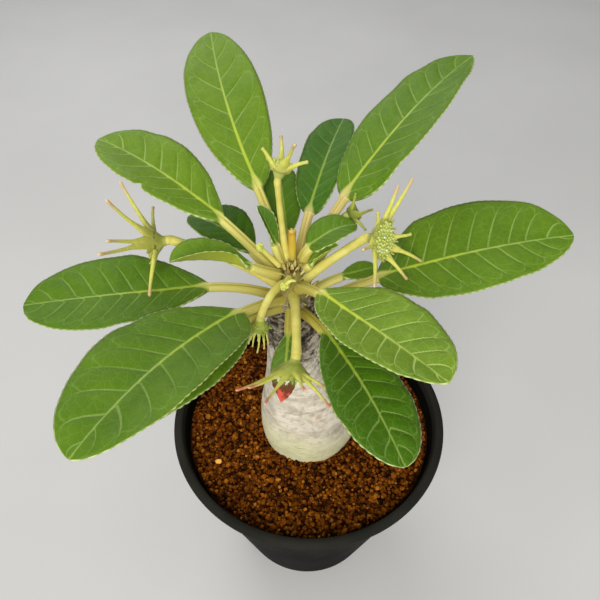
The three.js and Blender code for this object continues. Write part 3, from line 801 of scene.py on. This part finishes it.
def add_bract(shape, source, head, around, long, lean, slender):
    """A tapering finger that leaves the rim from a broad flattened foot."""
    outward, e = head.outward(math.radians(around)), math.radians(lean)
    along = outward * math.cos(e) + head.ahead * math.sin(e)
    left = np.cross(head.ahead, outward)
    up = np.cross(along, left)
    start = head.centre + outward * head.disc * BRACT_START - head.ahead
    reach = long + head.disc * (1 - BRACT_START)
    t = np.linspace(0, 1, 26)
    sink = 1 - (1 - t) ** 2
    sway = source.uniform(-0.35, 0.35) * np.sin(np.pi * t)
    sway = sway + 0.1 * np.sin(7 * t + source.uniform(0, 6))
    line = (start + np.outer(reach * t, along) + np.outer(sink, head.ahead)
            + np.outer(sway, left))
    radius = blend(BRACT_FOOT_RADIUS, BRACT_TIP_RADIUS, t ** 0.4) * 0.88 * slender
    uneven = 1 + 0.06 * wander(source, t, 0.5)
    knob = 1 + 0.28 * np.exp(-((t - 0.97) / 0.05) ** 2)
    closing = np.sqrt(np.clip(1 - ((t - 0.96) / 0.04) ** 2, 0.02, 1))
    radius = radius * uneven * knob * np.where(t > 0.96, closing, 1)
    flat = blend(2.1, 1.0, smooth(t, 0.1, 0.5))
    b = circle(12)
    ring = (left * (np.cos(b) * (radius * flat)[:, None])[..., None]
            + up * (np.sin(b) * radius[:, None])[..., None])
    tip = t * (1.0 if long > 6 else 0.8)
    shape.rings(line[:, None] + ring, tip=tip[:, None], finger=1.0)


def add_granules(shape, source, head):
    """Granules all over the disc, a few of them white."""
    count = int(GRANULES_PER_MM * head.disc)
    for i in range(count):
        r = head.disc * 0.9 * math.sqrt((i + 0.5) / count)
        lift = 0.62 + 0.25 * (1 - (r / head.disc) ** 2)
        at = head.centre + head.ahead * lift + head.outward(i * TURN_OF_SEEDS) * r
        size = source.uniform(0.26, 0.42) * (0.8 if head.disc < 3 else 1)
        grain = knot(source, size, 0.8, 1.15)
        white = 1.0 if source.random() < 0.03 else 0.0
        shape.add(at + grain, ICO_FACES, grain=1.0, white=white)


def add_teeth(shape, source, head):
    """Small curled teeth around the rim."""
    t = np.linspace(0, 1, 8)
    count = int(TEETH_PER_MM * head.disc)
    for i in range(count):
        outward = head.outward((i + source.uniform(-0.3, 0.3)) / count * 2 * math.pi)
        long = source.uniform(0.9, 1.7)
        hook = source.uniform(0.6, 1.3)
        foot = head.centre + outward * head.disc * 0.9 + head.ahead * 0.2
        line = (foot + np.outer(long * np.sin(hook * t), outward)
                + np.outer(long * (1 - np.cos(hook * t)), head.ahead))
        shape.tendril(line, blend(0.42, 0.2, t) * np.where(t > 0.95, 0.5, 1), 7, cup=1.0, tip=0.3)


def add_styles(shape, source, head, count):
    """White threads that stand over the rim."""
    t = np.linspace(0, 1, 7)
    for _ in range(count):
        angle, r = source.uniform(-1.2, 1.2), head.disc * source.uniform(0.8, 1.06)
        foot = head.centre + head.ahead * 0.8 + head.outward(angle) * r
        way = head.top * source.uniform(-1, 1) + head.sideways * source.uniform(-1, 1)
        line = foot + np.outer(1.1 * t, head.ahead) + np.outer(0.9 * t * t, way)
        shape.tendril(line, blend(0.17, 0.11, t), 6, white=1.0)


# ---- buds and cut stalk

BUD_LUMPS = 16
HOOKED = "bud_front"  # the bud with a small hooked finger

def make_stub(name):
    azimuth, height, rise, length, radius, knob = STUBS[name]
    source = rng(name)
    shape = Shape(*FLOWER_VALUES)
    points, along, left, up = grow(root_of(azimuth, height), (azimuth, azimuth), (rise, rise),
                                   length, 20)
    t = np.linspace(0, 1, len(points))
    if not knob:
        add_cut_stalk(shape, t, points, along, left, up, radius)
        return shape.piece(name, name, cut_material())
    grid = tube(points, left, up, radius * (1 + 0.2 * (1 - t)), 16)
    grid += facing(grid) * (0.05 * wander(source, t * length, 4)[:, None, None])
    shape.rings(grid, cup=t[:, None] * 0.6)
    for i in range(BUD_LUMPS):
        way = unit(source.normal(size=3))
        size = source.uniform(0.34, 0.6) * knob
        at = points[-1] + way * (knob - size) * 0.95
        lump = knot(source, size, 0.85, 1.1)
        shape.add(at + lump, ICO_FACES, cup=1.0, grain=1.0 if i % 2 else 0.0)
    if name == HOOKED:
        add_hook(shape, points[-1])
    material = flower_material(name + "_skin", 0.0, srgb(214, 216, 96), srgb(226, 222, 150))
    return shape.piece(name, name, material)


def add_cut_stalk(shape, t, points, along, left, up, radius):
    """A stub whose cut end is a little ragged and uneven."""
    sides = 20
    j = np.arange(sides)[None, :, None]
    grid = tube(points, left, up, radius * (1 + 0.12 * (1 - t)) * np.where(t > 0.97, 0.9, 1), sides)
    ragged = 1 + 0.16 * np.sin(2.7 * j) * smooth(t, 0.9, 1)[:, None, None]
    grid = points[:, None] + (grid - points[:, None]) * ragged
    grid[-3:] += 0.22 * np.sin(1.3 * j) * along[-1]
    shape.rings(grid, tip=t[:, None])


def add_hook(shape, foot):
    """A small pale finger that curls away from a bud."""
    t = np.linspace(0, 1, 12)
    line = foot + np.stack([2.9 * t, 0.5 * t, 1.3 * t + 0.9 * np.sin(np.pi * t)], -1)
    radius = blend(0.55, 0.3, t) * np.where(t > 0.95, 0.5, 1)
    shape.tendril(line, radius, 10, finger=1.0, tip=t[:, None] * 0.7)


def cut_material():
    m = Shader("cut_stalk_skin", Specular_IOR_Level=0.4)
    fibre = m.noise(120, 4, place=m.stretched(9, 9, 2))
    colour = m.ramp(m.value("tip"), (0.0, srgb(196, 186, 84)), (0.4, srgb(212, 188, 72)),
                    (0.86, srgb(212, 176, 52)), (0.95, srgb(186, 132, 34)),
                    (1.0, srgb(224, 196, 96)))
    colour = m.mix(m.step(fibre, 0.35, 0.7, 0.45, 0.0), colour, srgb(192, 150, 40))
    return m.surface(colour, fibre, 0.4, 0.6, m.bump(fibre, 0.4, 0.0003))


# ---- stem


def spline(z, column):
    """A smooth curve through one column of the stem's table."""
    x, y = STEM[:, 0], STEM[:, column]
    slope = np.gradient(y, x)
    i = np.clip(np.searchsorted(x, z) - 1, 0, len(x) - 2)
    h = x[i + 1] - x[i]
    t = np.clip((z - x[i]) / h, 0, 1)
    return (y[i] * (1 + 2 * t) * (1 - t) ** 2 + h * slope[i] * t * (1 - t) ** 2
            + y[i + 1] * t * t * (3 - 2 * t) + h * slope[i + 1] * t * t * (t - 1))


BURIED_TO = 62  # the stem's rings stand closer above this height
SCAR_FROM, SCAR_TO = 101, 131  # heights between which old stalks have left their scars
STEM_SIDES, LUMPS, CRACKS, SCARS, SCALES = 220, 26, 300, 52, 46


def make_trunk():
    source = rng("trunk")
    shape = Shape("scar", "hollow", "scale")
    foot, top = STEM[0, 0], STEM[-1, 0]
    z = np.concatenate([np.linspace(foot, BURIED_TO, 24)[:-1], np.linspace(BURIED_TO, top, 230)])
    a = circle(STEM_SIDES)
    lobes = 1 + 0.02 * np.sin(3 * a + 0.12 * z[:, None]) + 0.012 * np.cos(5 * a)
    radius = spline(z, 3)[:, None] * lobes
    zz = np.broadcast_to(z[:, None], radius.shape)
    aa = np.broadcast_to(a, radius.shape)
    lumps = stem_lumps(source, radius, aa, zz)
    cracks = stem_cracks(source, radius, aa, zz)
    scar, heart = stem_scars(source, radius, aa, zz)
    rough = smooth(zz, 92, 110)
    out = lumps - 0.2 * cracks * (1 - 0.4 * rough) + 0.42 * scar - 0.34 * heart
    out += 0.042 * source.normal(size=radius.shape) * rough
    fade = smooth(zz, 60, 66) * smooth(-zz, -137, -130)
    centre = np.stack([spline(z, 1), spline(z, 2), z], -1)
    ring = np.stack([np.cos(aa), np.sin(aa), np.zeros_like(aa)], -1)
    grid = centre[:, None] + (radius + out * fade)[..., None] * ring
    shape.rings(grid, scar=scar * fade, hollow=np.maximum(heart, cracks * 0.8) * fade)
    add_scales(shape, source)
    return shape.piece("trunk", "trunk", trunk_material())


def stem_lumps(source, radius, aa, zz):
    """Low lumps and dents."""
    lumps = np.zeros_like(radius)
    for _ in range(LUMPS):
        at_a, at_z = source.uniform(0, 2 * np.pi), source.uniform(60, 132)
        wide, high = source.uniform(2, 5), source.uniform(1.2, 3)
        gap = wrapped(aa - at_a) * radius
        lump = np.exp(-(gap / wide) ** 2 - ((zz - at_z) / high) ** 2)
        lumps += source.uniform(-0.22, 0.25) * lump
    return lumps


def stem_cracks(source, radius, aa, zz):
    """Fine cracks that run round the stem, from 0 to 1."""
    cracks = np.zeros_like(radius)
    for _ in range(CRACKS):
        at_a, at_z = source.uniform(0, 2 * np.pi), source.uniform(66, 128)
        long, tilt = source.uniform(1.0, 4.5), source.uniform(-0.25, 0.25)
        gap = wrapped(aa - at_a) * radius
        wiggle = 0.18 * np.sin(gap * 2.2 + source.uniform(0, 6))
        line = np.exp(-((zz - at_z - tilt * gap - wiggle) / 0.16) ** 2 - (gap / long) ** 4)
        cracks = np.maximum(cracks, line * source.uniform(0.4, 1))
    return cracks


def stem_scars(source, radius, aa, zz):
    """Leaf scars in a spiral, each a raised ring around a sunken heart."""
    scar = np.zeros_like(radius)
    heart = np.zeros_like(radius)
    for i in range(SCARS):
        at_z = SCAR_FROM + (SCAR_TO - SCAR_FROM) * (i / SCARS) ** 0.8
        at_a = math.radians(i * GOLDEN + source.uniform(-14, 14))
        gap = wrapped(aa - at_a) * radius
        size = source.uniform(1.0, 1.9)
        away = np.sqrt((gap / (size * 1.25)) ** 2 + ((zz - at_z) / (size * 0.8)) ** 2)
        away = away + 0.2 * np.sin(3 * np.arctan2(zz - at_z, gap) + i)
        seen = min(1, 0.35 + 1.04 * i / SCARS)
        ring = np.exp(-((away - 1) / 0.24) ** 2) * seen
        inside = smooth(1.0 - away, 0, 0.5) * seen
        scar = np.maximum(scar * (1 - inside), ring)
        heart = np.maximum(heart * (1 - ring), inside)
    return scar, heart


def add_scales(shape, source):
    """Papery scales and stipules between the stalks at the crown."""
    t = np.linspace(0, 1, 9)
    b = circle(10)
    for i in range(SCALES):
        a = i * GOLDEN + source.uniform(-12, 12)
        share = (i + 0.5) / SCALES
        height = blend(138.2, 129, share ** 1.1)
        inner = float(spline(np.array([height]), 3)[0])
        rise = blend(82, 30, share) + source.uniform(-12, 12)
        long = source.uniform(1.5, 3.2)
        wide = source.uniform(0.45, 0.85)
        along = heading(a, rise)
        left = left_of(np.float64(a))
        up = np.cross(along, left)
        foot = np.array([CROWN[0], CROWN[1], height]) + heading(a, 0.0) * (inner - 0.2)
        curl = source.uniform(-0.5, 0.9)
        line = foot + np.outer(long * t, along) + np.outer(curl * t * t, -up)
        width = wide * np.sqrt(np.clip(t + 0.35, 0, 1)) * np.clip(1 - t ** 2.2, 0.06, 1)
        width = width[:, None]
        thick = np.sin(b) * (0.2 * width + 0.08) - 0.35 * width * np.cos(b) ** 2
        ring = left * (np.cos(b) * width)[..., None] + up * thick[..., None]
        shape.rings(line[:, None] + ring, scale=source.uniform(0.55, 1.0))


def trunk_material():
    m = Shader("stem_bark_skin", Specular_IOR_Level=0.2, Sheen_Weight=0.03)
    x, _, z = m.parted()
    blotch = m.noise(150, 5, 0.6)
    around = m.noise(150, 6, 0.66, place=m.stretched(1, 1, 2.2), warp=0.8)
    fine = m.noise(900, 5, 0.6, place=m.stretched(1, 1, 2.4))
    cream = m.ramp(around, (0.26, srgb(140, 130, 114)), (0.4, srgb(204, 193, 172)),
                   (0.56, srgb(234, 225, 205)), (0.8, srgb(244, 238, 222)))
    cream = m.mix(m.step(blotch, 0.48, 0.7, 0.0, 0.5), cream, srgb(184, 172, 154))
    cream = m.mix(m.step(m.noise(520, 4), 0.52, 0.66, 0.0, 0.4), cream, srgb(158, 148, 132))
    tan = m.cells(95, "F1", place=m.stretched(1, 1, 1.3))
    cream = m.mix(m.step(tan, 0.05, 0.16, 0.5, 0.0), cream, srgb(176, 132, 86))
    # Yellow-green skin shows near the soil
    low = m.plus(m.plus(z, m.times(m.noise(70, 3), 0.012)), m.times(x, 0.22))
    cream = m.mix(m.step(low, 0.0755, 0.09, 0.75, 0.0), cream, srgb(238, 236, 180))
    # Dark rough bark higher up, with a ragged edge
    ridges = m.noise(300, 6, 0.7, place=m.stretched(1, 1, 1.9), warp=1.2)
    dark = m.ramp(ridges, (0.38, srgb(20, 16, 12)), (0.46, srgb(66, 56, 45)),
                  (0.55, srgb(136, 124, 104)), (0.66, srgb(206, 196, 174)))
    ragged = m.noise(150, 6, 0.7, place=m.stretched(1, 1, 2))
    edge = m.plus(z, m.step(ragged, 0.3, 0.7, -0.01, 0.01))
    bark = m.mottle(edge, 0.106, 0.115, cream, dark)
    scars = m.times(m.value("scar"), m.step(z, 0.1, 0.117, 0.12, 0.5))
    bark = m.mix(scars, bark, srgb(186, 172, 146))
    # Painted shade: the sunken hearts of the leaf scars and the cracks are darkened, more so higher
    # up
    hollow_shade = m.times(m.value("hollow"), m.step(z, 0.1, 0.117, 0.4, 0.85))
    bark = m.mix(hollow_shade, bark, srgb(48, 40, 32))
    # Reddish-brown growing point
    top = m.mottle(m.noise(500, 4), 0.35, 0.65, srgb(74, 40, 24), srgb(128, 84, 50))
    bark = m.mix(m.step(z, 0.128, 0.133), bark, srgb(150, 140, 74))
    bark = m.mottle(z, 0.1368, 0.1373, bark, top)
    papery = m.ramp(m.noise(620, 3), (0.3, srgb(150, 112, 60)), (0.42, srgb(198, 180, 98)),
                    (0.55, srgb(222, 214, 130)), (0.8, srgb(230, 228, 160)))
    colour = m.mix(m.step(m.value("scale"), 0.2, 0.5), bark, papery)
    relief = m.plus(fine, m.times(around, 0.8))
    return m.surface(colour, fine, 0.62, 0.9, m.bump(relief, 0.8, 0.0006))


# ---- soil


def wall_radius(z):
    return blend(BASE_RADIUS, MOUTH_RADIUS + WALL, z / (POT_HEIGHT - LIP_RADIUS))


def soil_height(x, y):
    return (SOIL_LEVEL - 1.0 + 0.5 * np.sin(0.31 * x) * np.cos(0.27 * y)
            + 0.35 * np.sin(0.13 * x + 1.1) * np.sin(0.17 * y))


GRAINS = 7600
GRAIN_RADIUS = 0.66
UNDER_STEM = 0.125  # share of the surface that lies under the stem
SOIL_GAP = 0.3  # between the soil and the pot
PALE_GRAIN = (-29.5, -15.0, SOIL_LEVEL + 0.4)


def make_soil():
    source = rng("soil")
    shape = Shape("tone")
    foot, middle, rows = WALL + SOIL_GAP, 34, 30
    inside = [wall_radius(z) - WALL - SOIL_GAP for z in (foot, middle, SOIL_LEVEL - 1)]
    radius = [0.5, inside[0] - 2.4, *inside, *np.linspace(inside[2] - 1, 2.5, rows)]
    level = [foot, foot, foot + 2, middle, *[SOIL_LEVEL] * (rows + 1)]
    grid = turned(radius, level, 96)
    top = grid[4:]
    top[..., 2] = soil_height(top[..., 0], top[..., 1])
    shape.rings(grid, tone=0.12)

    add_grains(shape, source, inside[2] - 0.5)
    # One larger pale grain lies left of the stem
    pale = knot(source, (1.3, 0.95, 0.8), 0.85, 1.1)
    shape.add(np.array(PALE_GRAIN) + pale, ICO_FACES, tone=1.6)
    return shape.piece("soil", "soil", soil_material(), flat=True)


def add_grains(shape, source, reach):
    """Loose grains bedded in the soil's surface, around the stem."""
    share = (np.arange(GRAINS) + source.uniform(0, 1, GRAINS)) / GRAINS
    r = reach * np.sqrt(blend(UNDER_STEM, 1, share))
    turn = np.radians(GOLDEN) * np.arange(GRAINS) + source.normal(0, 0.3, GRAINS)
    x, y = r * np.cos(turn), r * np.sin(turn) + 0.4
    size = np.clip(source.lognormal(math.log(GRAIN_RADIUS), 0.26, GRAINS), 0.34, 1.25)
    z = soil_height(x, y) + source.uniform(-0.3, 0.75, GRAINS)
    far = np.hypot(x, y) + size > reach + 0.3
    shrink = np.where(far, (reach + 0.3 - size) / np.hypot(x, y), 1)
    at = np.stack([x * shrink, y * shrink, z], -1)
    knots = ICO_POINTS[None] * size[:, None, None] * source.uniform(0.72, 1.12, (GRAINS, 12, 1))
    knots *= source.uniform(0.7, 1.15, (GRAINS, 1, 3))
    # Each turned by a random unit quaternion
    spin = unit(source.normal(size=(GRAINS, 4)))[:, None]
    v = np.broadcast_to(spin[..., 1:], knots.shape)
    twice = 2 * np.cross(v, knots)
    knots = knots + spin[..., :1] * twice + np.cross(v, twice)
    tone = np.clip(source.normal(0.5, 0.2, GRAINS), 0.05, 0.92)
    tone[source.integers(0, GRAINS, 60)] = 1.0
    faces = (ICO_FACES[None] + 12 * np.arange(GRAINS)[:, None, None]).reshape(-1, 3)
    shape.add(at[:, None] + knots, faces.tolist(), tone=np.repeat(tone, 12))


def soil_material():
    m = Shader("soil_grains_skin", Specular_IOR_Level=0.06)
    fine = m.noise(1400, 4, 0.6)
    tone = m.plus(m.value("tone"), m.step(m.noise(700, 3), 0.25, 0.75, -0.16, 0.16))
    colour = m.ramp(m.math("DIVIDE", tone, 1.6), (0.0, srgb(20, 8, 1)), (0.12, srgb(52, 22, 2)),
                    (0.3, srgb(100, 52, 6)), (0.45, srgb(134, 74, 12)), (0.58, srgb(166, 102, 26)),
                    (0.72, srgb(190, 134, 62)), (1.0, srgb(250, 190, 90)))
    return m.surface(colour, fine, 0.72, 0.95, m.bump(fine, 0.6, 0.0003))


# ---- pot


def pot_profile():
    """The pot's outline from under its floor, up the wall, over the lip and back inside."""
    lip_z, lip_r = POT_HEIGHT - LIP_RADIUS, RIM_RADIUS - LIP_RADIUS
    under_lip = lip_z - LIP_RADIUS
    bends = [math.radians(degrees) for degrees in range(-90, 136, 15)]
    lip = [(lip_r + LIP_RADIUS * math.cos(b), lip_z + LIP_RADIUS * math.sin(b)) for b in bends]
    wall = [(wall_radius(z), z) for z in np.linspace(2, under_lip - 0.9, 14)]
    inner = [(wall_radius(z) - WALL, z) for z in np.linspace(POT_HEIGHT - 2.6, 2.6, 12)]
    return np.array([
        (0.3, 0), *[(r, 0) for r in FLOOR_RINGS], (BASE_RADIUS - 1.4, 0),
        (BASE_RADIUS - 0.6, 0.15), (BASE_RADIUS - 0.1, 0.6), (wall_radius(WALL), WALL),
        *wall, (wall_radius(under_lip) - 0.15, under_lip - 0.5), *lip,
        (MOUTH_RADIUS + 0.15, POT_HEIGHT - 1.0), *inner,
        (wall_radius(WALL + 0.4) - WALL - 0.6, WALL + 0.4), (wall_radius(WALL) - WALL - 1.6, WALL),
        *[(r, WALL) for r in reversed(FLOOR_RINGS)], (0.3, WALL),
    ])


def drain_drills():
    """One mesh of upright round bars where the drain holes go."""
    bars = Shape()
    a = circle(32)
    for b in circle(DRAIN_COUNT):
        ring = np.stack([DRAIN_CIRCLE * math.cos(b) + DRAIN_RADIUS * np.cos(a),
                         DRAIN_CIRCLE * math.sin(b) + DRAIN_RADIUS * np.sin(a), np.zeros(32)], -1)
        bars.rings(np.stack([ring - (0, 0, 2), ring + (0, 0, 2 + WALL)]))
    mesh = bpy.data.meshes.new("drills")
    mesh.from_pydata((np.concatenate(bars.points) * MM).tolist(), [], bars.faces)
    return placed("drills", mesh)


def make_pot():
    profile = pot_profile()
    shape = Shape()
    shape.rings(turned(profile[:, 0], profile[:, 1], 192))
    made = shape.piece("pot", "pot", pot_material())

    drills = drain_drills()
    cut = made.modifiers.new("drain", "BOOLEAN")
    cut.operation, cut.solver, cut.object = "DIFFERENCE", "EXACT", drills
    bpy.context.view_layer.update()
    cut_pot = made.evaluated_get(bpy.context.evaluated_depsgraph_get())
    drilled = bpy.data.meshes.new_from_object(cut_pot)
    made.modifiers.clear()
    made.data = drilled
    bpy.data.objects.remove(drills)
    drilled.polygons.foreach_set("use_smooth", [True] * len(drilled.polygons))
    drilled.set_sharp_from_angle(angle=math.radians(40))
    return made


def pot_material():
    m = Shader("pot_plastic_skin", Specular_IOR_Level=0.012)
    cloud = m.noise(45, 4)
    fine = m.noise(1500, 3, 0.6)
    streak = m.noise(120, 3, place=m.stretched(1, 1, 0.12))
    wall = m.mottle(cloud, 0.3, 0.7, srgb(12, 12, 10), srgb(18, 18, 15))
    # Painted highlight: the top of the lip gets a lighter base colour than the wall, though both
    # are the same black plastic
    lip = m.mottle(cloud, 0.3, 0.7, srgb(36, 36, 32), srgb(46, 45, 40))
    colour = m.mix(m.step(m.parted()[2], 0.0683, 0.0697), wall, lip)
    dust = m.times(m.step(streak, 0.55, 0.8), m.step(fine, 0.45, 0.75))
    colour = m.mix(m.times(dust, 0.2), colour, srgb(60, 58, 52))
    rough = m.step(m.plus(m.times(cloud, 0.6), m.times(fine, 0.4)), 0.3, 0.7, 0.44, 0.6)
    return m.give(Base_Color=colour, Roughness=rough, Normal=m.bump(fine, 0.12, 0.00015))


# ---- the plant

HEAD_LOOKS = {  # painted shade that darkens the whole head, colour of the cup and of the bracts' ends; flower_star's strong darkening and dark olive cup are painted shade
    "flower_left": (0.0, srgb(152, 154, 66), srgb(216, 186, 130)),
    "flower_right": (0.0, srgb(160, 164, 76), srgb(214, 184, 128)),
    "flower_front": (0.06, srgb(138, 148, 54), srgb(216, 132, 104)),
    "flower_young": (0.06, srgb(140, 158, 54), srgb(212, 190, 120)),
    "flower_back": (0.0, srgb(176, 180, 96), srgb(206, 176, 118)),
    "flower_star": (0.5, srgb(96, 120, 40), srgb(200, 166, 110)),
}
for leaf in LEAVES:
    make_leaf(leaf)
for flower in FLOWERS:
    make_flower(flower, *HEAD_LOOKS[flower])
for stub in STUBS:
    make_stub(stub)
make_trunk()
make_soil()
make_pot()

# ---- studio


def make_floor():
    mesh = bpy.data.meshes.new("studio_floor")
    reach = 3.0
    corners = [(-reach, -reach, 0), (reach, -reach, 0), (reach, reach, 0), (-reach, reach, 0)]
    mesh.from_pydata(corners, [], [(0, 1, 2, 3)])
    m = Shader("studio_floor_paint", Roughness=0.8, Specular_IOR_Level=0.2)
    shade = m.mottle(m.noise(6, 3), 0.3, 0.7, srgb(206, 205, 202), srgb(212, 211, 208))
    mesh.materials.append(m.give(Base_Color=shade))
    floor = placed("studio_floor", mesh)


def soft_light(name, place, aim, size, power, colour):
    light = bpy.data.lights.new(name, "AREA")
    light.shape, light.size, light.energy, light.color = "DISK", size, power, colour
    lamp = placed(name, light)
    lamp.location = place
    lamp.rotation_euler = (Vector(aim) - Vector(place)).to_track_quat("-Z", "Y").to_euler()


make_floor()
plant_middle = (0, 0, 0.1)
soft_light("key", (-0.1, -0.55, 0.5), plant_middle, 0.5, 4.2, (1.0, 0.985, 0.95))
soft_light("back", (-0.2, 0.45, 0.6), plant_middle, 0.5, 1.6, (0.97, 0.98, 1.0))

world = bpy.data.worlds.new("studio")
world.use_nodes = True
sky = world.node_tree.nodes["Background"]
sky.inputs["Color"].default_value = (0.97, 0.98, 1.0, 1)
sky.inputs["Strength"].default_value = 0.42
bpy.context.scene.world = world
bpy.context.scene.view_settings.view_transform = "Standard"

camera_data = bpy.data.cameras.new("camera")
camera_data.lens = 36.0
camera_data.sensor_width = 36.0
camera_data.clip_start = 0.01
camera = placed("camera", camera_data)
camera.location = (-0.0029, -0.1121, 0.2441)
camera.rotation_euler = (math.radians(43.7), 0, 0)
bpy.context.scene.camera = camera
